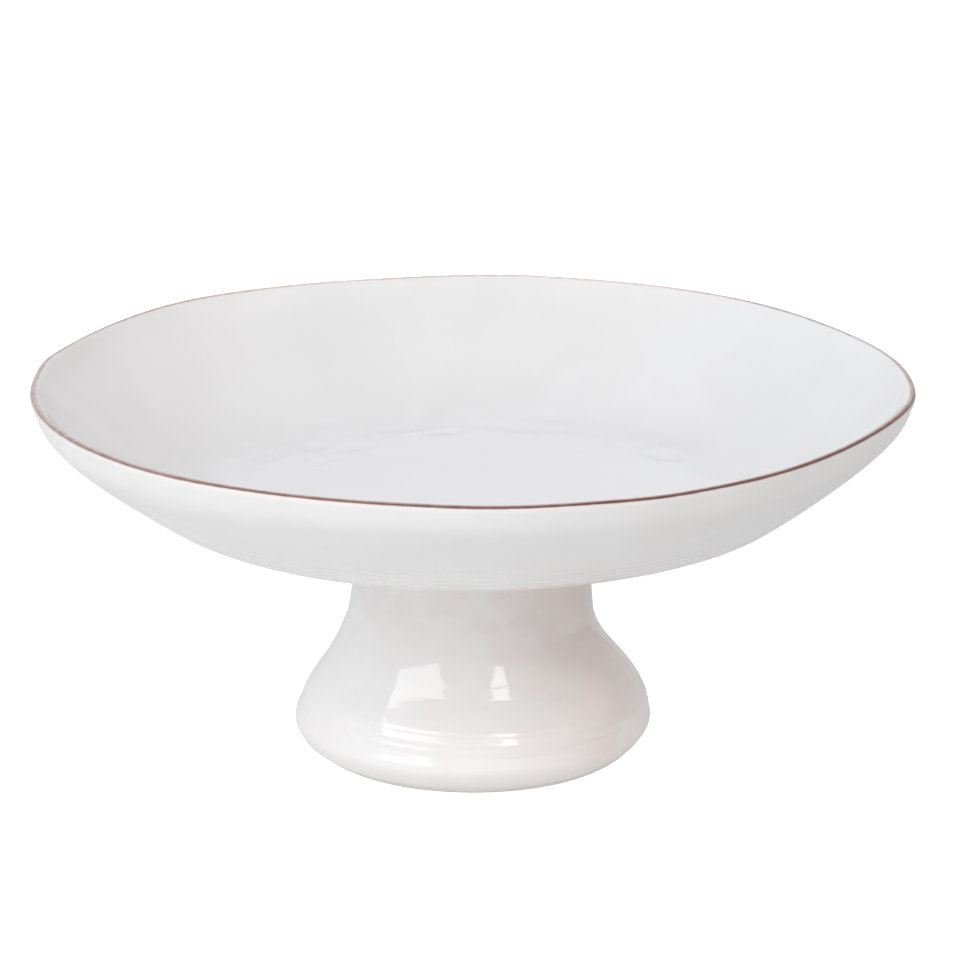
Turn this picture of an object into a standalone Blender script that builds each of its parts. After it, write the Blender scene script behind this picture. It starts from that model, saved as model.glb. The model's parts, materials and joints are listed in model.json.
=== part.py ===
"""Footed cake stand in thrown, glazed stoneware.

A shallow dish is luted with slip to a hollow bell foot, and its lip carries a brown line.
Metres, +Z up. The origin is the middle of the ring that the stand rests on.
"""

import math

import bpy

MM = 0.001
GAP = 0.3  # between pieces that touch, mm

# Driving sizes, in mm
HEIGHT = 132.0
RIM_R = 152.3  # outside of the lip, before the wall is pressed out of round
LIP_WIDTH = 3.3
CROWN_DEPTH = 1.6  # how far the brown lip line reaches down from the top
CROWN_RISE = 1.1  # height of its rounded part
FLOOR_Z = 91.3  # flat floor that the cake sits on
FLOOR_R = 78.0
SEAT_Z = 82.5  # flat underside that the foot is luted to
SEAT_R = 54.0
WALL_FOOT_R = 98.0  # where the wall starts to rise, and the pressing fades out
SLIP_THICKNESS = 0.7
STAND_R_OUT = 53.8  # ring that the stand rests on
STAND_R_IN = 48.6
FOOT_TOP_R_OUT = 46.0
FOOT_TOP_R_IN = 36.8

DISH_STEPS = 96
FOOT_STEPS = 64

LAND_Z = HEIGHT - CROWN_DEPTH - GAP  # top of the dish's wall, under the brown line
FOOT_TOP_Z = SEAT_Z - SLIP_THICKNESS - 2 * GAP

# Outlines as (radius, height), in mm
DISH_INSIDE = (
    (RIM_R - LIP_WIDTH - 0.2, LAND_Z),
    (143.4, 123.8),
    (131.0, 114.6),
    (114.0, 102.2),
    (100.0, 94.4),
    (88.0, 91.7),
    (FLOOR_R, FLOOR_Z),
)
DISH_OUTSIDE = (
    (RIM_R - 0.2, LAND_Z),
    (148.2, 121.0),
    (138.0, 110.9),
    (120.0, 97.3),
    (107.0, 89.6),
    (92.0, 86.3),
    (70.0, 84.6),
    (SEAT_R, SEAT_Z),
)
FOOT_OUTSIDE = (
    (FOOT_TOP_R_OUT, FOOT_TOP_Z),
    (43.2, 74.0),
    (41.7, 62.0),
    (43.4, 49.5),
    (48.7, 37.0),
    (56.6, 25.5),
    (61.4, 17.0),
    (63.2, 10.5),
    (60.8, 5.2),
    (57.0, 2.0),
    (STAND_R_OUT, 0.0),
)
FOOT_INSIDE = (
    (FOOT_TOP_R_IN, FOOT_TOP_Z),
    (35.3, 68.0),
    (36.0, 52.0),
    (42.2, 37.0),
    (50.6, 24.5),
    (55.4, 13.0),
    (53.4, 4.6),
    (STAND_R_IN, 0.0),
)

# Where the potter's hands pressed the wall while it was soft:
# bearing and half width in degrees, then how far the lip went out and up there, in mm
RIM_TOUCHES = (
    (134, 10, 2.5, 0.3),
    (103, 5, -1.0, -0.1),
    (84, 4, 0.8, 0.1),
    (28, 11, -2.1, -0.2),
    (-10, 6, 1.1, 0.0),
    (-31, 15, -2.6, 0.2),
    (-67, 4, 0.8, 0.0),
    (-87, 6, 1.0, -0.1),
    (-104, 17, -2.0, 0.3),
    (-115, 40, 1.6, -0.1),
    (169, 4, 1.2, 0.0),
)


def curve_through(points, steps=2):
    """A smooth line through the points, with this many steps from each to the next."""
    line = []
    ends = (points[0],) + tuple(points) + (points[-1],)
    for before, start, end, after in zip(ends, ends[1:], ends[2:], ends[3:]):
        for step in range(steps):
            t = step / steps
            line.append(
                tuple(
                    b
                    + 0.5 * t * (c - a)
                    + t * t * (a - 2.5 * b + 2 * c - 0.5 * d)
                    + t * t * t * (-0.5 * a + 1.5 * b - 1.5 * c + 0.5 * d)
                    for a, b, c, d in zip(before, start, end, after)
                )
            )
    return line + [tuple(points[-1])]


def crown_arc(steps=6):
    """The rounded top of the lip, from its inner edge over to its outer edge."""
    middle = RIM_R - LIP_WIDTH / 2
    edge_z = HEIGHT - CROWN_RISE
    turns = (math.pi * step / steps for step in range(steps + 1))
    return [
        (middle - LIP_WIDTH / 2 * math.cos(t), edge_z + CROWN_RISE * math.sin(t))
        for t in turns
    ]


def dish_outline():
    """From the middle of the floor, over the lip, to the middle of the underside."""
    inside = curve_through(DISH_INSIDE)[::-1]
    outside = curve_through(DISH_OUTSIDE)
    return [(0.0, FLOOR_Z)] + inside + outside + [(0.0, SEAT_Z)]


def rim_band_outline():
    bottom_z = HEIGHT - CROWN_DEPTH
    outer = (RIM_R - 0.2, bottom_z)
    inner = (RIM_R - LIP_WIDTH - 0.2, bottom_z)
    return crown_arc() + [outer, inner]


def foot_outline():
    return curve_through(FOOT_OUTSIDE) + curve_through(FOOT_INSIDE)[::-1]


def slip_joint_outline():
    """The luting layer, with the bead that was smoothed into the corner outside it."""
    top_z = SEAT_Z - GAP
    bottom_z = FOOT_TOP_Z + GAP
    bead_reach = 5.0
    bead_drop = 4.0
    wall_r = FOOT_TOP_R_OUT + GAP
    bead = [
        (wall_r + bead_reach, top_z),
        (wall_r + bead_reach - 0.4, top_z - 0.6),
        (wall_r + 2.2, bottom_z - 0.6),
        (wall_r + 0.9, bottom_z - 2.0),
        (wall_r + 0.1, bottom_z - bead_drop),
        (wall_r - 1.1, bottom_z - bead_drop),
    ]
    return [(FOOT_TOP_R_IN, top_z)] + bead + [(wall_r, bottom_z), (FOOT_TOP_R_IN, bottom_z)]


def glaze(name, colour, roughness):
    made = bpy.data.materials.new(name)
    made.use_nodes = True
    shader = made.node_tree.nodes["Principled BSDF"]
    shader.inputs["Base Color"].default_value = (*colour, 1.0)
    shader.inputs["Roughness"].default_value = roughness
    shader.inputs["Metallic"].default_value = 0.0
    return made


def turned(name, outline, steps, closed_outline, surface, parts):
    """Turns an outline about Z, as on the wheel."""
    points = [(radius * MM, 0.0, z * MM) for radius, z in outline]
    edges = [(i, i + 1) for i in range(len(points) - 1)]
    if closed_outline:
        edges.append((len(points) - 1, 0))
    mesh = bpy.data.meshes.new(name)
    mesh.from_pydata(points, edges, [])
    mesh.materials.append(surface)
    piece = bpy.data.objects.new(name, mesh)
    parts.objects.link(piece)
    screw = piece.modifiers.new("turn", "SCREW")
    screw.steps = steps
    screw.render_steps = steps
    screw.use_smooth_shade = True
    screw.use_merge_vertices = not closed_outline
    screw.merge_threshold = 0.0001
    return piece


def rim_touch(bearing):
    """How far the lip stands out and up at a bearing in degrees, in mm."""
    out = up = 0.0
    for middle, half_width, push, lift in RIM_TOUCHES:
        away = (bearing - middle + 180) % 360 - 180
        swell = math.exp(-0.5 * (away / half_width) ** 2)
        out += push * swell
        up += lift * swell
    return out, up


def press_out_of_round(piece):
    """Keeps the turned mesh, then moves its wall as the hands did, most at the lip."""
    bpy.context.view_layer.update()
    graph = bpy.context.evaluated_depsgraph_get()
    pressed = bpy.data.meshes.new_from_object(piece.evaluated_get(graph))
    turned_mesh = piece.data
    piece.modifiers.clear()
    piece.data = pressed
    bpy.data.meshes.remove(turned_mesh)
    pressed.name = piece.name
    for vertex in pressed.vertices:
        x, y, z = vertex.co
        radius = math.hypot(x, y)
        share = (radius / MM - WALL_FOOT_R) / (RIM_R - WALL_FOOT_R)
        if share <= 0:
            continue
        out, up = rim_touch(math.degrees(math.atan2(y, x)))
        grow = 1 + share**1.5 * out * MM / radius
        vertex.co = (x * grow, y * grow, z + share**1.5 * up * MM)
    pressed.set_sharp_from_angle(angle=math.radians(40))


def main():
    for old in list(bpy.data.objects):
        bpy.data.objects.remove(old, do_unlink=True)
    parts = bpy.data.collections.new("cake_stand")
    bpy.context.scene.collection.children.link(parts)

    white = glaze("white_glaze", (0.80, 0.80, 0.79), 0.15)
    warm = glaze("foot_glaze", (0.78, 0.76, 0.75), 0.17)
    brown = glaze("brown_lip", (0.16, 0.05, 0.03), 0.3)
    clay = glaze("clay_slip", (0.66, 0.58, 0.52), 0.6)

    dish = turned("dish", dish_outline(), DISH_STEPS, False, white, parts)
    press_out_of_round(dish)
    band = turned("rim_band", rim_band_outline(), DISH_STEPS, True, brown, parts)
    press_out_of_round(band)
    turned("pedestal_foot", foot_outline(), FOOT_STEPS, True, warm, parts)
    turned("slip_joint", slip_joint_outline(), FOOT_STEPS, True, clay, parts)


main()
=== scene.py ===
"""Looks of the footed cake stand: glazed stoneware with hand marks and a brown lip line."""
import json
import math
import random

import bpy
import numpy as np
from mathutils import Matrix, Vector, noise


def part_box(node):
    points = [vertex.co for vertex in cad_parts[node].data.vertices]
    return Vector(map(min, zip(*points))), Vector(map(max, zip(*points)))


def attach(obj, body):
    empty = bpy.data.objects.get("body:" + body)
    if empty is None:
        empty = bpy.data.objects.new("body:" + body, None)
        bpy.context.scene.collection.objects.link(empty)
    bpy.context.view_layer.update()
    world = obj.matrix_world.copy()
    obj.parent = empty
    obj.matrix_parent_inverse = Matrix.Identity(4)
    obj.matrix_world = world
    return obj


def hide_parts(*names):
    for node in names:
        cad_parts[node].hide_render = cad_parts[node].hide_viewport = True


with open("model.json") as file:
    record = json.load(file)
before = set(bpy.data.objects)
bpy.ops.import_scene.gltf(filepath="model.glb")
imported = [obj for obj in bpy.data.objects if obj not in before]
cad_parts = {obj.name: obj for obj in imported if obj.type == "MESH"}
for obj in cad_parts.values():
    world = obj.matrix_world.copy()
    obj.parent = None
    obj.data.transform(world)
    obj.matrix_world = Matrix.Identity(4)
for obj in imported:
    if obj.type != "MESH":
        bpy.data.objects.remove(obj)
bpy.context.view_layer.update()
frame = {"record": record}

MM = 0.001

# Heights come from the frame, in mm
MOUNTS = {mount["name"]: mount for mount in frame["record"]["mounts"]}
FLOOR_Z = MOUNTS["cake_rest"]["pos_m"][2] / MM
SEAT_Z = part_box("dish")[0].z / MM
FOOT_TOP_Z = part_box("pedestal_foot")[1].z / MM

# Sizes of the turned shapes, as in the CAD, in mm
HEIGHT = 131.95
RIM_R = 152.2
LIP_WIDTH = 3.3
CROWN_RISE = 1.5
FLOOR_R = 78.0
SEAT_R = 54.0
WALL_FOOT_R = 98.0
STAND_R_OUT = 53.8
STAND_R_IN = 48.6
FOOT_TOP_R_OUT = 46.0
FOOT_TOP_R_IN = 36.8
SKIN = 0.06  # how far the brown coat stands out from the lip
SLIP_GAP = 0.02  # between the slip and the pieces that it joins
TURNING_R = 117.0  # middle of the turning lines on the dish's outside

DISH_INSIDE = (
    (149.2, 131.3),
    (142.7, 124.1),
    (131.0, 114.6),
    (114.0, 102.2),
    (100.0, 94.4),
    (88.0, 91.7),
    (FLOOR_R, FLOOR_Z),
)
DISH_OUTSIDE = (
    (RIM_R - SKIN, HEIGHT - CROWN_RISE),
    (148.2, 121.0),
    (138.0, 110.9),
    (120.0, 97.3),
    (107.0, 89.6),
    (92.0, 86.3),
    (70.0, 84.6),
    (SEAT_R, SEAT_Z),
)
FOOT_OUTSIDE = (
    (FOOT_TOP_R_OUT, FOOT_TOP_Z),
    (43.2, 74.0),
    (41.7, 62.0),
    (43.4, 49.5),
    (44.3, 46.6),
    (45.75, 43.0),
    (48.7, 37.0),
    (52.3, 31.0),
    (56.1, 25.5),
    (59.6, 19.8),
    (62.0, 14.8),
    (63.2, 9.8),
    (60.8, 5.0),
    (57.0, 2.0),
    (STAND_R_OUT, 0.0),
)
FOOT_INSIDE = (
    (FOOT_TOP_R_IN, FOOT_TOP_Z),
    (35.3, 68.0),
    (36.0, 52.0),
    (42.2, 37.0),
    (50.6, 24.5),
    (55.4, 13.0),
    (53.4, 4.6),
    (STAND_R_IN, 0.0),
)

# Where the wall was pressed while soft, as in the CAD:
# bearing and half width in degrees, then how far the lip went out and up there, in mm
RIM_TOUCHES = (
    (134, 10, 2.5, 0.3),
    (103, 5, -1.0, -0.1),
    (84, 4, 0.8, 0.1),
    (28, 11, -2.1, -0.2),
    (-10, 6, 1.1, 0.0),
    (-31, 15, -2.6, 0.2),
    (-67, 4, 0.8, 0.0),
    (-87, 6, 1.0, -0.1),
    (-104, 17, -2.0, 0.3),
    (-115, 40, 1.6, -0.1),
    (169, 4, 1.2, 0.0),
)

# Throwing rings round the foot, as bands that meet in crests and hollows:
# the height of each band's top in mm and its slope in degrees from upright. The widest bands, at
# the top, only steepen the flare
FOOT_RINGS = (
    (36.0, 30.3),
    (32.4, 35.5),
    (30.4, 37.5),
    (27.0, 38.0),
    (22.5, 31.0),
    (21.5, 39.0),
    (20.8, 28.5),
    (19.5, 35.0),
    (18.9, 10.0),
    (17.6, 27.5),
    (16.5, 12.0),
    (14.9, 27.0),
)
FOOT_RINGS_END = 11.4
RING_STEP = 0.05  # between the heights at which the rings' depth is worked out, mm

# Where the foot's right side was pressed in, or out where the depth is negative: depth, then
# between which x it sets in, and between which heights it starts and ends, all in mm
FOOT_PRESSES = (
    (1.3, (30, 58), (-2, 6), (9, 19)),
    (1.2, (20, 44), (31, 43), (44, 62)),
    (-0.7, (30, 52), (16, 25), (27, 36)),
)

# Thumb marks in the bend between floor and wall: bearing in degrees, then
# radius, half length round the dish, half width across it and depth, in mm
THUMB_MARKS = (
    (127, 72, 12, 6.0, 0.60),
    (135, 81, 10, 6.0, 0.55),
    (143, 66, 11, 3.0, 0.28),
    (147, 86, 14, 5.0, 0.60),
    (150, 96, 13, 3.5, 0.48),
    (160, 104, 16, 3.0, 0.42),
    (168, 108, 20, 2.4, 0.42),
)

# The brown coat is a pale wash over the lip with a dark line along its outer side, in shares of
# the darkest brown
WASH = 0.35
LINE = 0.13
# Where the wash lies thin: bearing and half width in degrees, and the share that is missing
THIN_WASH = (
    (-160, 18, 0.20),
    (112, 14, 0.50),
    (72, 13, 0.70),
)
# Where the line is dark: bearing and half width in degrees, and how much darker it is there
DARK_LINE = (
    (-118, 30, 0.15),
    (-46, 29, 0.46),
)


# ---------------------------------------------------------------- outlines

def curve_through(points, spacing):
    """A smooth line through the points. Spacing is in mm, or a function that gives it."""
    points = [np.array(p, float) for p in points]
    ends = [points[0]] + points + [points[-1]]
    fine = []
    for a, b, c, d in zip(ends, ends[1:], ends[2:], ends[3:]):
        for t in np.arange(0, 1, 1 / 48):
            fine.append(
                b
                + 0.5 * t * (c - a)
                + t * t * (a - 2.5 * b + 2 * c - 0.5 * d)
                + t**3 * (-0.5 * a + 1.5 * b - 1.5 * c + 0.5 * d)
            )
    fine = np.array(fine + [points[-1]])
    return stepped(fine, spacing(fine) if callable(spacing) else spacing)


def stepped(line, spacing):
    """The same line with its points about spacing mm apart."""
    line = np.asarray(line, float)
    spacing = np.broadcast_to(spacing, len(line))
    gaps = np.linalg.norm(np.diff(line, axis=0), axis=1)
    steps = np.concatenate([[0], np.cumsum(2 * gaps / (spacing[1:] + spacing[:-1]))])
    count = max(1, round(steps[-1]))
    places = np.linspace(0, steps[-1], count + 1)
    return np.stack([np.interp(places, steps, line[:, k]) for k in (0, 1)], axis=1)


def joined(*stretches):
    """Stretches end to end, with each shared end point kept once."""
    rows = [stretches[0]]
    for stretch in stretches[1:]:
        rows.append(stretch[1:])
    return np.concatenate(rows)


def crown(turns, proud=0.0):
    """Points over the lip's rounded top. Turn 0 faces the middle of the dish and pi faces out."""
    middle = RIM_R - SKIN - LIP_WIDTH / 2
    half = LIP_WIDTH / 2 + proud
    rise = CROWN_RISE - SKIN + proud
    base = HEIGHT - CROWN_RISE
    return np.stack([middle - half * np.cos(turns), base + rise * np.sin(turns)], axis=1)


def dish_outline():
    """From the middle of the floor, over the lip, to the middle of the underside."""
    floor = stepped([(0.0, FLOOR_Z), (FLOOR_R, FLOOR_Z)], 1.9)
    inside = curve_through(DISH_INSIDE, 1.5)[::-1]
    lip = crown(np.linspace(0.63, math.pi, 19))
    outside = curve_through(
        DISH_OUTSIDE, lambda line: 0.7 + 0.8 * fade(abs(line[:, 0] - TURNING_R), 10, 14)
    )
    seat = stepped([(SEAT_R, SEAT_Z), (0.0, SEAT_Z)], 2.6)
    inside[-1] = lip[0]
    outside[0] = lip[-1]
    return joined(floor, inside, lip, outside, seat)


def foot_outline():
    """Down the outside, finest over the throwing rings, across the standing ring and up inside."""
    outside = curve_through(
        FOOT_OUTSIDE, lambda line: 0.26 + 0.5 * fade(abs(line[:, 1] - 18), 7.5, 9.5)
    )
    stand = stepped([(STAND_R_OUT, 0.0), (STAND_R_IN, 0.0)], 0.9)
    inside = curve_through(FOOT_INSIDE, 1.6)[::-1]
    top = stepped([(FOOT_TOP_R_IN, FOOT_TOP_Z), (FOOT_TOP_R_OUT, FOOT_TOP_Z)], 1.8)
    return joined(outside, stand, inside, top)[:-1]


def slip_outline():
    """The luting layer, filling the joint, with its bead smoothed into the corner."""
    top = SEAT_Z - SLIP_GAP
    bottom = FOOT_TOP_Z + SLIP_GAP
    bead = curve_through(
        (
            (FOOT_TOP_R_OUT + 5.3, top),
            (FOOT_TOP_R_OUT + 3.4, top - 0.5),
            (FOOT_TOP_R_OUT + 1.4, top - 1.9),
            (FOOT_TOP_R_OUT + 0.2, top - 3.8),
            (FOOT_TOP_R_OUT - 1.0, top - 5.6),
        ),
        0.45,
    )
    under = stepped([bead[-1], (FOOT_TOP_R_OUT - 3.0, bottom - 1.0)], 0.8)
    across = stepped([under[-1], (FOOT_TOP_R_IN + 1.5, bottom)], 1.5)
    inner = stepped([across[-1], (FOOT_TOP_R_IN - 0.4, bottom - 0.6)], 0.8)
    inner_up = stepped([inner[-1], (FOOT_TOP_R_IN - 1.2, top)], 0.6)
    over = stepped([inner_up[-1], bead[0]], 1.6)
    return joined(bead, under, across, inner, inner_up, over)[:-1]


# ---------------------------------------------------------------- hand marks

def rim_touch(bearings):
    """How far the lip stands out and up at bearings in degrees, in mm."""
    out = np.zeros_like(bearings)
    up = np.zeros_like(bearings)
    for middle, half_width, push, lift in RIM_TOUCHES:
        away = (bearings - middle + 180) % 360 - 180
        swell = np.exp(-0.5 * (away / half_width) ** 2)
        out += push * swell
        up += lift * swell
    return out, up


def pressed(points):
    """Moves the wall out of round as the hands did, most at the lip. Points in mm."""
    radius = np.hypot(points[:, 0], points[:, 1])
    share = np.clip((radius - WALL_FOOT_R) / (RIM_R - WALL_FOOT_R), 0, None) ** 1.5
    out, up = rim_touch(np.degrees(np.arctan2(points[:, 1], points[:, 0])))
    grow = 1 + share * out / np.maximum(radius, 1)
    moved = points * np.stack([grow, grow, np.ones_like(grow)], axis=1)
    moved[:, 2] += share * up
    return moved


def ripple(points, size, seed):
    """Smooth noise from -1 to 1 whose swells are about size mm across."""
    shift = Vector((seed * 17.3, seed * -9.1, seed * 5.7))
    return np.array([noise.noise(Vector(p) / size + shift) for p in points])


def fade(values, low, high):
    """0 below low, 1 above high, smooth between."""
    t = np.clip((values - low) / (high - low), 0, 1)
    return t * t * (3 - 2 * t)


def thumb_marks():
    """The thumb marks listed above and the fainter ones on the rest of the way round."""
    draw = random.Random(11)
    marks = list(THUMB_MARKS)
    for step in range(30):
        bearing = -170 + 9.6 * step + draw.uniform(-4, 4)
        radius = draw.uniform(76, 108)
        length, width = draw.uniform(9, 19), draw.uniform(3.5, 8)
        marks.append((bearing, radius, length, width, width * draw.uniform(0.04, 0.085)))
    for step in range(16):
        bearing = -178 + 22 * step + draw.uniform(-7, 7)
        radius, size = draw.uniform(112, 136), draw.uniform(9, 16)
        marks.append((bearing, radius, size, size * 0.8, size * draw.uniform(0.008, 0.018)))
    return marks


def thumb_depth(points):
    """How deep the thumb marks are at each point of the dish, in mm."""
    radius = np.hypot(points[:, 0], points[:, 1])
    bearings = np.degrees(np.arctan2(points[:, 1], points[:, 0]))
    depth = np.zeros(len(points))
    for bearing, middle, length, width, deep in thumb_marks():
        turned_by = np.radians((bearings - bearing + 180) % 360 - 180)
        away = (turned_by * middle / length) ** 2 + ((radius - middle) / width) ** 2
        depth += deep * np.clip(1 - away, 0, None) ** 1.5
    return depth


def dish_marks(points, inside):
    """How far each point of the dish moves along its normal, in mm."""
    radius = np.hypot(points[:, 0], points[:, 1])
    below_lip = HEIGHT - points[:, 2]
    away_from_lip = fade(below_lip, 2.0, 9.0)
    away_from_seat = fade(radius, SEAT_R, SEAT_R + 12)
    broad = ripple(points, 34, 1)
    middle = ripple(points, 15, 2)
    fine = ripple(points, 7, 3)
    inner = 0.24 * broad + 0.12 * middle + 0.02 * fine
    outer = 0.20 * broad + 0.05 * middle + 0.012 * fine
    turning = 0.035 * np.sin(radius / 0.54 + 0.8 * ripple(points, 50, 6))
    turning *= 1 - fade(abs(radius - TURNING_R), 4, 11)
    outer = (outer + turning) * away_from_seat
    inner = inner * (0.35 + 0.65 * fade(radius, 60, 90)) - thumb_depth(points)
    return np.where(inside, inner, outer) * away_from_lip


def ring_depths():
    """How far the ringed foot lies inside the smooth one: heights, and depths in mm."""
    smooth = curve_through(FOOT_OUTSIDE, 0.1)[::-1]
    heights = np.arange(FOOT_RINGS_END, FOOT_RINGS[0][0], RING_STEP)[::-1]
    tops = np.array([top for top, _ in FOOT_RINGS])
    slopes = np.array([slope for _, slope in FOOT_RINGS])
    band = np.array([np.count_nonzero(tops >= z) - 1 for z in heights])
    base = np.interp(heights, smooth[:, 1], smooth[:, 0])
    ringed = base[0] + np.cumsum(np.tan(np.radians(slopes[band]))) * RING_STEP
    ringed += (base[-1] - ringed[-1]) * np.linspace(0, 1, len(heights))
    worn = np.hanning(9)[1:-1]
    depth = np.convolve(base - ringed, worn / worn.sum(), "same")
    return heights[::-1], depth[::-1]


def rings(z):
    """How deep the throwing rings are at height z, in mm."""
    return np.interp(z, *ring_depths(), left=0, right=0)


def foot_marks(points, inside):
    """How far each point of the foot moves along its normal, in mm.

    The rings wander a little in height round the foot and are worn faint towards the back.
    """
    z = points[:, 2]
    swells = 0.16 * ripple(points, 30, 8) + 0.05 * ripple(points, 13, 9)
    facing_front = -points[:, 1] / np.maximum(np.hypot(points[:, 0], points[:, 1]), 1)
    wandering = 0.018 * points[:, 0] - 0.25 * ripple(points, 60, 20) - 0.12
    worn = rings(z + wandering) * (0.3 + 0.7 * fade(facing_front, 0.35, 0.8))
    dent = 0
    for depth, sideways, starts, ends in FOOT_PRESSES:
        dent = dent + depth * fade(points[:, 0], *sideways) * fade(z, *starts) * (1 - fade(z, *ends))
    marks = np.where(inside, 1.5 * swells + 0.12 * np.sin(z / 1.3), 0.6 * swells - worn - dent)
    return marks * fade(z, 0.0, 4.0) * fade(FOOT_TOP_Z - z, 0.0, 6.0)


# ---------------------------------------------------------------- meshes

def outline_normals(outline, closed_outline):
    """Unit normals of an outline that runs down its outer side, pointing out of the solid."""
    if closed_outline:
        along = np.roll(outline, -1, axis=0) - np.roll(outline, 1, axis=0)
    else:
        along = np.gradient(outline, axis=0)
    normals = np.stack([-along[:, 1], along[:, 0]], axis=1)
    return normals / np.maximum(np.linalg.norm(normals, axis=1), 1e-9)[:, None]


def ring_counts(outline, around):
    """Fewer points round the rings near the axis, halved in steps."""
    counts = []
    for radius, _ in outline:
        count = around
        while count > 25 and radius < 0.11 * count:
            count //= 2
        counts.append(count)
    return counts


def ring_faces(first, count, second, count_second):
    """Faces between two rings whose counts are equal or differ by a factor of two."""
    faces = []
    if count == count_second:
        for i in range(count):
            j = (i + 1) % count
            faces.append((first + i, first + j, second + j, second + i))
    elif count == 2 * count_second:
        for i in range(count_second):
            a, b, c = first + 2 * i, first + 2 * i + 1, first + (2 * i + 2) % count
            d, e = second + i, second + (i + 1) % count_second
            faces += [(a, b, d), (b, e, d), (b, c, e)]
    else:
        for i in range(count):
            a, b = first + i, first + (i + 1) % count
            d, e, f = second + 2 * i, second + 2 * i + 1, second + (2 * i + 2) % count_second
            faces += [(a, e, d), (a, b, e), (b, f, e)]
    return faces


def turned(outline, around, closed_outline, marks=None):
    """Turns an outline about Z, then moves each point along its normal by marks().

    An outline that isn't closed starts and ends on the axis, and its two ends become single points.
    """
    normals = outline_normals(outline, closed_outline)
    open_ends = not closed_outline
    rows = list(range(1, len(outline) - 1) if open_ends else range(len(outline)))
    counts = ring_counts(outline, around) if open_ends else [around] * len(outline)
    points, facing, row_of = [], [], []
    starts = {}
    for row in rows:
        starts[row] = sum(len(p) for p in points)
        angle = np.arange(counts[row]) * 2 * math.pi / counts[row]
        for made, (across, up) in ((points, outline[row]), (facing, normals[row])):
            level = np.full_like(angle, up)
            made.append(np.stack([across * np.cos(angle), across * np.sin(angle), level], 1))
        row_of.append(np.full(counts[row], row))
    if open_ends:
        for row, up in ((0, 1.0), (len(outline) - 1, -1.0)):
            starts[row] = sum(len(p) for p in points)
            points.append(np.array([[0.0, 0.0, outline[row][1]]]))
            facing.append(np.array([[0.0, 0.0, up]]))
            row_of.append(np.array([row]))
    points = np.concatenate(points)
    facing = np.concatenate(facing)
    row_of = np.concatenate(row_of)

    faces = []
    for row, after in zip(rows, rows[1:] if open_ends else rows[1:] + rows[:1]):
        faces += ring_faces(starts[row], counts[row], starts[after], counts[after])
    if open_ends:
        first, last, end = 1, len(outline) - 2, len(outline) - 1
        for i in range(counts[first]):
            j = (i + 1) % counts[first]
            faces.append((starts[0], starts[first] + j, starts[first] + i))
        for i in range(counts[last]):
            j = (i + 1) % counts[last]
            faces.append((starts[end], starts[last] + i, starts[last] + j))
    if marks is not None:
        points = points + facing * marks(points, row_of)[:, None]
    return points, faces


def solid(name, points, faces, surface):
    """A piece from points in mm and faces that run clockwise seen from outside."""
    mesh = bpy.data.meshes.new(name)
    mesh.from_pydata([tuple(p * MM) for p in points], [], [f[::-1] for f in faces])
    mesh.shade_smooth()
    mesh.materials.append(surface)
    piece = bpy.data.objects.new(name, mesh)
    bpy.context.scene.collection.objects.link(piece)
    return piece


# ---------------------------------------------------------------- materials

# Colours of the glazes where they lie thick and where they lie thin
DISH_GLAZE = ((0.867, 0.867, 0.868), (0.848, 0.845, 0.840))
FOOT_GLAZE = ((0.884, 0.882, 0.880), (0.872, 0.865, 0.860))
SLIP_GLAZE = ((0.862, 0.857, 0.852), (0.838, 0.815, 0.800))
POOLED_GLAZE = (0.886, 0.890, 0.908)  # on the floor inside the dish
# Painted shade: these pinks also darken the foot's right side, away from the key light, and its neck
# under the dish
PINK_AND_SHADE_LOW = (0.890, 0.808, 0.783)  # pink clay through thin glaze on the foot's bell, darkened as painted warm shade on its right side
PINK_AND_SHADE_HIGH = (0.845, 0.765, 0.742)  # and on its neck, darker still as painted shade under the dish
SPECK = (0.45, 0.36, 0.28)
BARE_CLAY = (0.52, 0.42, 0.33), (0.66, 0.56, 0.46)
GLAZE_RIPPLE_M = 0.003

# The brown coat's colours from the thinnest to the thickest, with the thickness of each
LIP_COLOURS = (
    (0.14, (0.84, 0.83, 0.82)),
    (0.28, (0.80, 0.69, 0.64)),
    (0.50, (0.50, 0.40, 0.385)),
    (0.74, (0.29, 0.155, 0.137)),
    (1.0, (0.14, 0.052, 0.046)),
)


def new_material(name):
    """A material with its nodes, its links and its shader."""
    made = bpy.data.materials.new(name)
    made.use_nodes = True
    nodes = made.node_tree.nodes
    return made, nodes, made.node_tree.links, nodes["Principled BSDF"]


def noise_texture(nodes, links, place, scale, detail, roughness=0.5, distortion=0.0):
    made = nodes.new("ShaderNodeTexNoise")
    made.inputs["Scale"].default_value = scale
    made.inputs["Detail"].default_value = detail
    made.inputs["Roughness"].default_value = roughness
    made.inputs["Distortion"].default_value = distortion
    links.new(place, made.inputs["Vector"])
    return made.outputs["Fac"]


def ramp(nodes, links, value, stops):
    made = nodes.new("ShaderNodeValToRGB")
    links.new(value, made.inputs["Fac"])
    stripes = made.color_ramp.elements
    while len(stripes) < len(stops):
        stripes.new(0.5)
    for stripe, (place, colour) in zip(stripes, stops):
        stripe.position = place
        stripe.color = (*colour, 1.0)
    return made.outputs["Color"]


def mapped(nodes, links, value, low, high, to_low, to_high):
    made = nodes.new("ShaderNodeMapRange")
    made.interpolation_type = "SMOOTHSTEP"
    links.new(value, made.inputs["Value"])
    ends = {"From Min": low, "From Max": high, "To Min": to_low, "To Max": to_high}
    for key, number in ends.items():
        made.inputs[key].default_value = number
    return made.outputs["Result"]


def calculated(nodes, links, operation, *values):
    """A Math node. Each value is a number or another node's output."""
    made = nodes.new("ShaderNodeMath")
    made.operation = operation
    for socket, value in zip(made.inputs, values):
        if isinstance(value, (int, float)):
            socket.default_value = value
        else:
            links.new(value, socket)
    return made.outputs[0]


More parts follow.
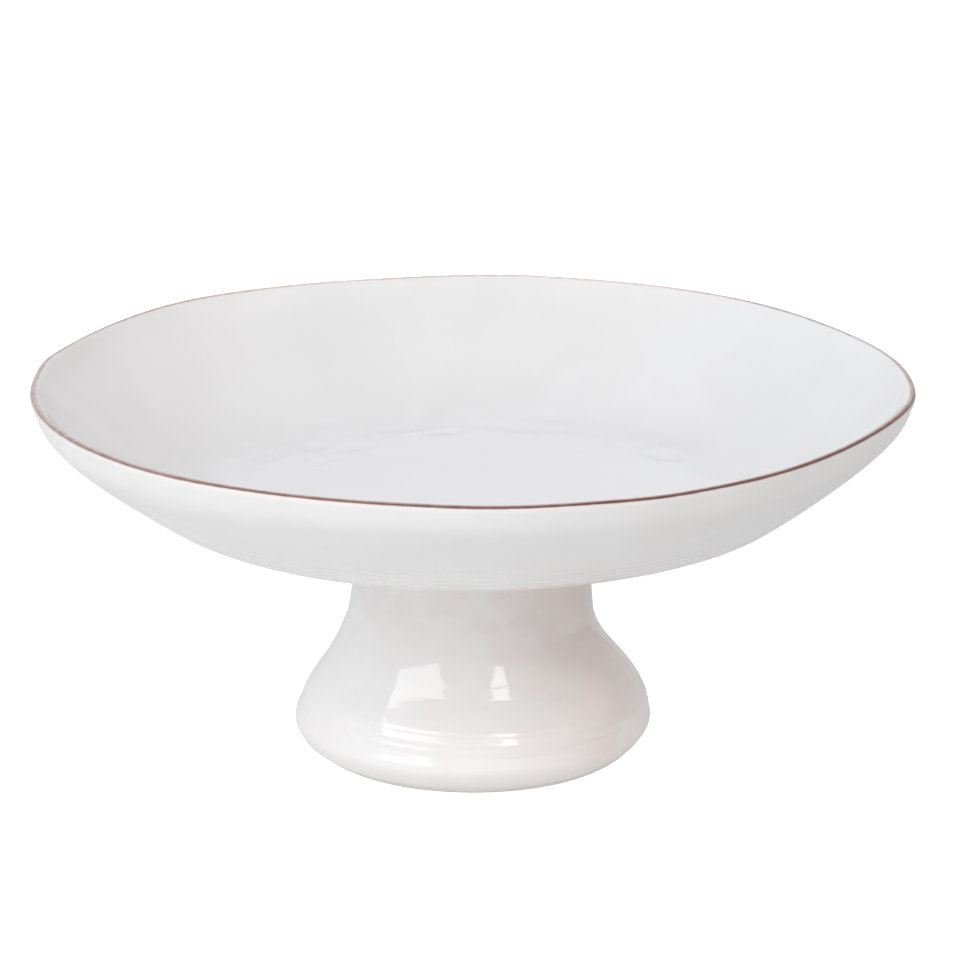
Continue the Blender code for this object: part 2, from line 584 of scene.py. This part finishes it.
def vector_node(nodes, links, operation, *values):
    """A Vector Math node. Each value is a vector or another node's output."""
    made = nodes.new("ShaderNodeVectorMath")
    made.operation = operation
    for socket, value in zip(made.inputs, values):
        if isinstance(value, tuple):
            socket.default_value = value
        else:
            links.new(value, socket)
    return made


def mixed(nodes, links, share, first, second):
    made = nodes.new("ShaderNodeMix")
    made.data_type = "RGBA"
    links.new(share, made.inputs["Factor"])
    for socket, value in (("A", first), ("B", second)):
        target = [s for s in made.inputs if s.name == socket and s.type == "RGBA"][0]
        if isinstance(value, tuple):
            target.default_value = (*value, 1.0)
        else:
            links.new(value, target)
    return [s for s in made.outputs if s.type == "RGBA"][0]


def glaze(name, thick, thin):
    """White glaze over clay: cooler where it pools, warmer where it lies thin, with faint specks."""
    made, nodes, links, shader = new_material(name)
    place = nodes.new("ShaderNodeTexCoord").outputs["Object"]
    pool = noise_texture(nodes, links, place, 26, 3, 0.5, 0.6)
    body = ramp(nodes, links, pool, ((0.35, thin), (0.62, thick)))
    grain = noise_texture(nodes, links, place, 900, 2)
    speck = mapped(nodes, links, grain, 0.79, 0.84, 0.0, 0.5)
    speckled = mixed(nodes, links, speck, body, SPECK)
    links.new(speckled, shader.inputs["Base Color"])
    haze = noise_texture(nodes, links, place, 60, 4)
    links.new(mapped(nodes, links, haze, 0.3, 0.7, 0.025, 0.06), shader.inputs["Roughness"])
    shader.inputs["IOR"].default_value = 1.55
    waves = noise_texture(nodes, links, place, 1 / GLAZE_RIPPLE_M, 2)
    bump = nodes.new("ShaderNodeBump")
    bump.inputs["Strength"].default_value = 0.10
    bump.inputs["Distance"].default_value = 0.0002
    links.new(waves, bump.inputs["Height"])
    links.new(bump.outputs["Normal"], shader.inputs["Normal"])
    return made


def dish_material():
    """The glaze, pooled whiter and cooler on the floor inside."""
    made = glaze("dish_glaze", *DISH_GLAZE)
    nodes, links = made.node_tree.nodes, made.node_tree.links
    shader = nodes["Principled BSDF"]
    place = nodes.new("ShaderNodeTexCoord").outputs["Object"]
    split = nodes.new("ShaderNodeSeparateXYZ")
    links.new(place, split.inputs[0])
    level = vector_node(nodes, links, "MULTIPLY", place, (1.0, 1.0, 0.0)).outputs[0]
    radius = vector_node(nodes, links, "LENGTH", level).outputs["Value"]
    patches = noise_texture(nodes, links, place, 30, 2, 0.5, 0.5)
    wandering = calculated(nodes, links, "MULTIPLY_ADD", patches, 0.035, radius)
    pooled = mapped(nodes, links, wandering, 0.096, 0.112, 1.0, 0.0)
    inside = calculated(nodes, links, "GREATER_THAN", split.outputs["Z"], 0.0902)
    share = calculated(nodes, links, "MULTIPLY", pooled, inside)
    old_colour = shader.inputs["Base Color"].links[0].from_socket
    whiter = mixed(nodes, links, share, old_colour, POOLED_GLAZE)
    links.new(whiter, shader.inputs["Base Color"])
    return made


def lip_material():
    """Iron-brown coat: dark where it is thick, breaking through pinkish grey to white glaze."""
    made, nodes, links, shader = new_material("lip_brown")
    place = nodes.new("ShaderNodeTexCoord").outputs["Object"]
    coat = nodes.new("ShaderNodeAttribute")
    coat.attribute_name = "coat"
    broken = noise_texture(nodes, links, place, 240, 3)
    thickness = calculated(nodes, links, "MULTIPLY_ADD", broken, 0.30, coat.outputs["Fac"])
    colour = ramp(nodes, links, thickness, LIP_COLOURS)
    links.new(colour, shader.inputs["Base Color"])
    worn = noise_texture(nodes, links, place, 120, 3)
    links.new(mapped(nodes, links, worn, 0.3, 0.7, 0.08, 0.18), shader.inputs["Roughness"])
    shader.inputs["IOR"].default_value = 1.5
    return made


def slip_material():
    """The glaze that covers the smoothed joint, a little thinner than on the dish."""
    return glaze("slip_glaze", *SLIP_GLAZE)


def foot_material():
    """The glaze, thin enough on one side and at the neck to let pink clay through, and wiped off
    the standing ring. The pink is also painted warm shade, darker on the right side away from the
    key light and at the neck under the dish."""
    made = glaze("foot_glaze", *FOOT_GLAZE)
    nodes, links = made.node_tree.nodes, made.node_tree.links
    shader = nodes["Principled BSDF"]
    place = nodes.new("ShaderNodeTexCoord").outputs["Object"]
    split = nodes.new("ShaderNodeSeparateXYZ")
    links.new(place, split.inputs[0])
    height = split.outputs["Z"]

    # Painted shade: the pink share grows to the right, away from the key light, and up towards the
    # neck under the dish, as well as where the glaze runs thin
    leaning = calculated(nodes, links, "MULTIPLY_ADD", height, 0.35, split.outputs["X"])
    thin_and_shaded_side = mapped(nodes, links, leaning, 0.0145, 0.0555, 0.0, 1.0)
    upward = mapped(nodes, links, height, 0.0, 0.045, 0.62, 1.0)
    neck = mapped(nodes, links, height, 0.045, 0.080, 0.0, 0.25)
    patches = noise_texture(nodes, links, place, 95, 2, 0.5, 0.8)
    uneven = mapped(nodes, links, patches, 0.35, 0.65, -0.22, 0.22)
    thin = calculated(nodes, links, "MULTIPLY_ADD", thin_and_shaded_side, upward, neck)
    thin = calculated(nodes, links, "MAXIMUM", calculated(nodes, links, "ADD", thin, uneven), 0.0)
    thin = calculated(nodes, links, "MINIMUM", thin, 1.0)
    old_colour = shader.inputs["Base Color"].links[0].from_socket
    # Painted shade: the pink darkens upwards into the neck, under the dish
    shaded = mapped(nodes, links, height, 0.040, 0.062, 0.0, 1.0)
    pink = mixed(nodes, links, shaded, PINK_AND_SHADE_LOW, PINK_AND_SHADE_HIGH)
    glazed = mixed(nodes, links, thin, old_colour, pink)

    edge = noise_texture(nodes, links, place, 160, 3)
    lifted = calculated(nodes, links, "MULTIPLY_ADD", edge, -0.0009, height)
    bare = mapped(nodes, links, lifted, -0.0001, 0.0003, 1.0, 0.0)
    clay = noise_texture(nodes, links, place, 500, 4)
    clay_colour = ramp(nodes, links, clay, ((0.3, BARE_CLAY[0]), (0.7, BARE_CLAY[1])))
    links.new(mixed(nodes, links, bare, glazed, clay_colour), shader.inputs["Base Color"])
    old_roughness = shader.inputs["Roughness"].links[0].from_socket
    rough = nodes.new("ShaderNodeMix")
    links.new(bare, rough.inputs[0])
    links.new(old_roughness, rough.inputs[2])
    rough.inputs[3].default_value = 0.75
    links.new(rough.outputs[0], shader.inputs["Roughness"])
    return made


# ---------------------------------------------------------------- pieces

def make_dish():
    outline = dish_outline()
    over_lip = int(np.argmax(outline[:, 1]))

    def marks(points, row_of):
        return dish_marks(points, row_of <= over_lip)

    points, faces = turned(outline, 400, False, marks)
    piece = solid("dish_glazed", pressed(points), faces, dish_material())
    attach(piece, "root")
    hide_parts("dish")


def make_foot():
    outline = foot_outline()
    outer_rows = int(np.argmin(outline[:, 1])) + 2

    def marks(points, row_of):
        return foot_marks(points, row_of > outer_rows)

    points, faces = turned(outline, 320, True, marks)
    lean = 0.9 * (1 - fade(points[:, 2], 8, 56)) - 0.5
    points[:, 0] += lean * fade(points[:, 2], 0.0, 9.0) * fade(FOOT_TOP_Z - points[:, 2], 0, 12)
    piece = solid("foot_glazed", points, faces, foot_material())
    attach(piece, "root")
    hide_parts("pedestal_foot")


def make_slip():
    points, faces = turned(slip_outline(), 240, True)
    piece = solid("slip_bead", points, faces, slip_material())
    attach(piece, "root")
    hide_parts("slip_joint")


def make_lip_line():
    """A thin coat over the crown of the lip, wider at some bearings than at others."""
    around, across = 900, 22
    bearings = np.arange(around) * 2 * math.pi / around
    circle = np.stack([np.cos(bearings), np.sin(bearings), np.zeros(around)], axis=1) * RIM_R
    wander = ripple(circle, 40, 31)
    shiver = ripple(circle, 9, 32)
    inner_turn = 1.20 + 0.16 * wander + 0.08 * shiver - 0.32 * fade(np.sin(bearings), 0.2, 0.8)
    outer_turn = 2.86 + 0.10 * wander
    wash, line = np.full(around, WASH), np.full(around, LINE)
    for bearing, half_width, missing in THIN_WASH:
        away = (np.degrees(bearings) - bearing + 180) % 360 - 180
        wash *= 1 - missing * np.exp(-0.5 * (away / half_width) ** 2)
    for bearing, half_width, darker in DARK_LINE:
        away = (np.degrees(bearings) - bearing + 180) % 360 - 180
        line += darker * np.exp(-0.5 * (away / half_width) ** 2)
    shares = np.linspace(0, 1, across)
    points, coat = [], []
    for side in ("over", "under"):
        order = shares if side == "over" else shares[::-1][1:-1]
        for share in order:
            turn = inner_turn + (outer_turn - inner_turn) * share
            thickness = SKIN * math.sin(math.pi * share) ** 0.5 if side == "over" else -0.25
            middle = RIM_R - SKIN - LIP_WIDTH / 2
            radius = middle - (LIP_WIDTH / 2 + thickness) * np.cos(turn)
            z = HEIGHT - CROWN_RISE + (CROWN_RISE - SKIN + thickness) * np.sin(turn)
            points.append(np.stack([radius * np.cos(bearings), radius * np.sin(bearings), z], axis=1))
            washed = fade(share, 0.0, 0.14) * (1 - fade(share, 0.72, 0.96))
            lined = math.exp(-(((share - 0.64) / 0.19) ** 2))
            coat.append(wash * washed + line * lined)
    faces = []
    for row in range(len(points)):
        faces += ring_faces(row * around, around, (row + 1) % len(points) * around, around)
    piece = solid("lip_line", pressed(np.concatenate(points)), faces, lip_material())
    layer = piece.data.attributes.new("coat", "FLOAT", "POINT")
    layer.data.foreach_set("value", np.concatenate(coat))
    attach(piece, "root")
    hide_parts("rim_band")


# ---------------------------------------------------------------- studio

# Light from the studio, linear: right, left, back and front walls, below and above about 25 degrees
LOW_WALLS = ((0.19, 0.138, 0.115), (0.885, 0.915, 0.945), (0.82, 0.81, 0.83), (0.96, 0.92, 0.905))
HIGH_WALLS = ((0.90, 0.87, 0.865), (0.455, 0.485, 0.515), (0.685, 0.675, 0.70), (0.975, 0.995, 0.985))
CEILING = (0.235, 0.24, 0.266)
BELOW = (0.36, 0.36, 0.36)
SIDES = ((1.0, 0.0, 0.0), (-1.0, 0.0, 0.0), (0.0, 1.0, 0.0), (0.0, -1.0, 0.0))
# Between which heights on the unit sphere each zone of light sets in
ZONES = ((-0.02, 0.0, LOW_WALLS), (0.36, 0.50, HIGH_WALLS), (0.80, 0.95, None))

# Two floors: name, height and right edge in m, grey, and glow
FLOORS = (
    ("studio_floor", 0.0, 6.0, 0.55, 0.92),
    ("studio_bounce", -0.0025, 0.55, 0.52, 0.325),
)
FLOOR_REACH = 6.0

# Two lit sheets: name, corners as azimuths and elevations in degrees, with azimuth 0 in front, and
# radiance
SHEETS = (
    ("key_left", ((-65, 23), (-31, 26), (-8, 51), (-78, 42)), (3.42, 3.42, 3.47)),
    ("fill_right", ((21, 29), (28, 29), (41, 51), (3, 51)), (5.0, 4.95, 4.9)),
)
SHEET_DISTANCE = 2.5
SHEETS_FACE = (0.0, 0.0, 0.06)

CAMERA_ELEVATION = 16.43
CAMERA_DISTANCE = 1.6
CAMERA_TARGET = (0.0023, 0.0, 0.0956)
CAMERA_LENS = 172.3  # mm, on a sensor 36 mm wide


def make_floor():
    """A white floor that the camera sees, and just under it the table whose bounce lights the stand.

    The table ends a little way to the right of the stand, and glows less towards the right.
    """
    for name, height, right, grey, glow in FLOORS:
        flat = ((-FLOOR_REACH, -1), (right, -1), (right, 1), (-FLOOR_REACH, 1))
        corners = [(x, FLOOR_REACH * side, height) for x, side in flat]
        mesh = bpy.data.meshes.new(name)
        mesh.from_pydata(corners, [], [(0, 1, 2, 3)])
        floor = bpy.data.objects.new(name, mesh)
        bpy.context.scene.collection.objects.link(floor)
        made, nodes, links, shader = new_material(name)
        shader.inputs["Base Color"].default_value = (grey, grey, grey, 1)
        shader.inputs["Roughness"].default_value = 0.9
        shader.inputs["Specular IOR Level"].default_value = 0.0
        shader.inputs["Emission Color"].default_value = (1, 1, 1, 1)
        shader.inputs["Emission Strength"].default_value = glow
        if name == "studio_bounce":
            split = nodes.new("ShaderNodeSeparateXYZ")
            links.new(nodes.new("ShaderNodeTexCoord").outputs["Object"], split.inputs[0])
            across = mapped(nodes, links, split.outputs["X"], -0.28, 0.28, glow + 0.05, glow - 0.07)
            links.new(across, shader.inputs["Emission Strength"])
        mesh.materials.append(made)
        seen = name == "studio_floor"
        floor.visible_camera = seen
        floor.visible_diffuse = not seen
        floor.visible_glossy = not seen
        floor.visible_transmission = not seen
        floor.visible_shadow = not seen


def walls(nodes, links, place, colours):
    """Four walls' colours blended by the square of the cosine of the bearing to each."""
    level = vector_node(nodes, links, "MULTIPLY", place, (1.0, 1.0, 0.0))
    way = vector_node(nodes, links, "NORMALIZE", level.outputs[0]).outputs[0]
    total = None
    for side, colour in zip(SIDES, colours):
        facing = vector_node(nodes, links, "DOT_PRODUCT", way, side).outputs["Value"]
        towards = calculated(nodes, links, "MAXIMUM", facing, 0.0)
        share = calculated(nodes, links, "POWER", towards, 2.0)
        part = vector_node(nodes, links, "SCALE", colour)
        links.new(share, part.inputs["Scale"])
        if total is None:
            total = part.outputs[0]
        else:
            total = vector_node(nodes, links, "ADD", total, part.outputs[0]).outputs[0]
    return total


def make_world():
    """Pale walls all round, dark and warm low down on the right, under a darker ceiling."""
    world = bpy.data.worlds.new("studio")
    bpy.context.scene.world = world
    world.use_nodes = True
    nodes, links = world.node_tree.nodes, world.node_tree.links
    place = nodes.new("ShaderNodeTexCoord").outputs["Generated"]
    split = nodes.new("ShaderNodeSeparateXYZ")
    links.new(place, split.inputs[0])
    around = BELOW
    for low, high, colours in ZONES:
        share = mapped(nodes, links, split.outputs["Z"], low, high, 0.0, 1.0)
        colour = walls(nodes, links, place, colours) if colours else CEILING
        around = mixed(nodes, links, share, around, colour)
    links.new(around, nodes["Background"].inputs["Color"])


def softbox(name, corners, radiance):
    """An evenly lit white sheet, which the camera doesn't see."""
    points = []
    for azimuth, elevation in corners:
        a, e = math.radians(azimuth), math.radians(elevation)
        way = np.array([math.sin(a) * math.cos(e), -math.cos(a) * math.cos(e), math.sin(e)])
        points.append(tuple(np.array(SHEETS_FACE) + SHEET_DISTANCE * way))
    mesh = bpy.data.meshes.new(name)
    mesh.from_pydata(points, [], [(0, 1, 2, 3)])
    made = bpy.data.materials.new(name)
    made.use_nodes = True
    nodes, links = made.node_tree.nodes, made.node_tree.links
    nodes.clear()
    glow = nodes.new("ShaderNodeEmission")
    glow.inputs["Color"].default_value = (*radiance, 1.0)
    output = nodes.new("ShaderNodeOutputMaterial")
    links.new(glow.outputs[0], output.inputs["Surface"])
    mesh.materials.append(made)
    sheet = bpy.data.objects.new(name, mesh)
    sheet.visible_camera = False
    bpy.context.scene.collection.objects.link(sheet)


def make_camera():
    """A long lens from a little above, as for a product picture."""
    elevation = math.radians(CAMERA_ELEVATION)
    away = CAMERA_DISTANCE * Vector((0, -math.cos(elevation), math.sin(elevation)))
    data = bpy.data.cameras.new("camera")
    data.sensor_width = 36
    data.lens = CAMERA_LENS
    camera = bpy.data.objects.new("camera", data)
    camera.location = Vector(CAMERA_TARGET) + away
    camera.rotation_euler = (math.pi / 2 - elevation, 0, 0)
    bpy.context.scene.collection.objects.link(camera)
    bpy.context.scene.camera = camera


make_camera()
make_world()
make_floor()
for sheet in SHEETS:
    softbox(*sheet)
bpy.context.scene.view_settings.view_transform = "Standard"

make_dish()
make_foot()
make_slip()
make_lip_line()
